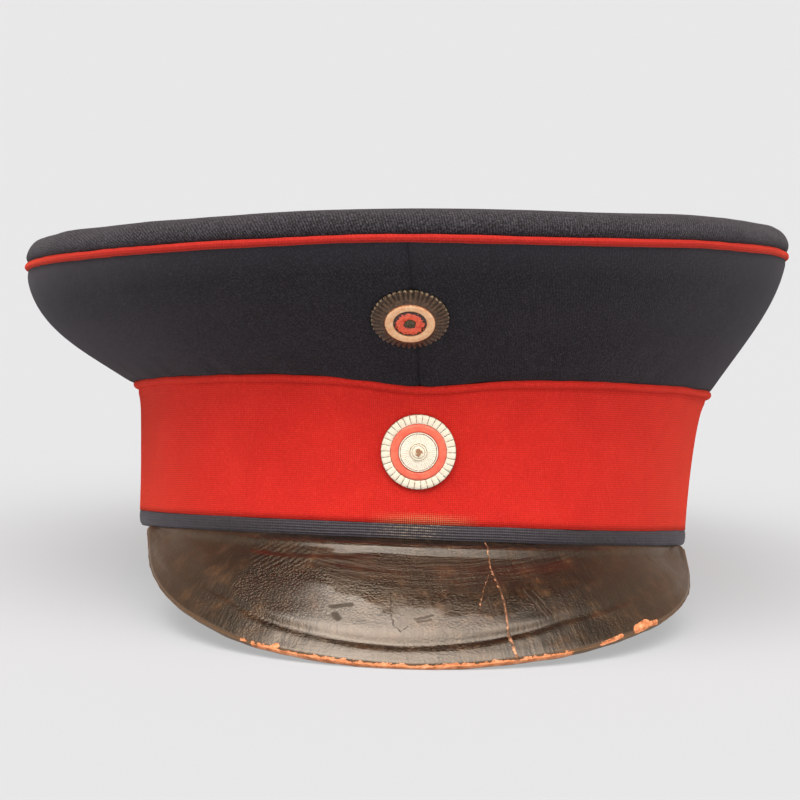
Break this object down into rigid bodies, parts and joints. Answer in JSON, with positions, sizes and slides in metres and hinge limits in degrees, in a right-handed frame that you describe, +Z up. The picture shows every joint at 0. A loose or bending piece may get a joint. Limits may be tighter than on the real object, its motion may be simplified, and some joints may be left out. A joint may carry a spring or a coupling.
{
  "type": "peaked cap",
  "caption": "Cloth peaked cap with a wide flat crown, red band and piping, dark binding, a lacquered leather peak and ring cockades on the front.",
  "frame": {"origin": "centre of the bounding box on the floor it rests on", "axes": "+Z up from the floor, -Y to the front where the peak points, +X to the wearer's left; the cap is tipped back to rest on its peak's edge and the back of its hem"},
  "size_m": [0.2292, 0.2694, 0.1245],
  "materials": {
    "navy_cloth": "matt milled wool, fine twill on the top roll",
    "scarlet_cloth": "matt milled wool, plain weave showing where the nap is worn",
    "ribbed_binding": "matt ribbed woven binding",
    "lacquered_leather": "glossy black lacquer over leather, crazed and worn to tan at the cut edge",
    "blacked_metal": "black lacquer on fluted brass, worn",
    "cream_enamel": "aged cream paint, semi-gloss",
    "red_enamel": "coral red paint, semi-gloss",
    "silvered_metal": "dull silvered stamping, warm with age",
    "tarnished_metal": "tarnished rivet head"
  },
  "bodies": {
    "root": {"crown_top": "navy_cloth", "crown_piping": "scarlet_cloth", "crown_side_left": "navy_cloth", "crown_side_right": "navy_cloth", "seam_piping": "scarlet_cloth", "band": "scarlet_cloth", "hem_binding": "ribbed_binding", "peak": "lacquered_leather", "crown_cockade_fluted_ring": "blacked_metal", "crown_cockade_cream_ring": "cream_enamel", "crown_cockade_red_ring": "red_enamel", "crown_cockade_rivet": "tarnished_metal", "band_cockade_fluted_ring": "silvered_metal", "band_cockade_red_ring": "red_enamel", "band_cockade_disc": "silvered_metal", "band_cockade_boss": "silvered_metal"}
  },
  "joints": []
}
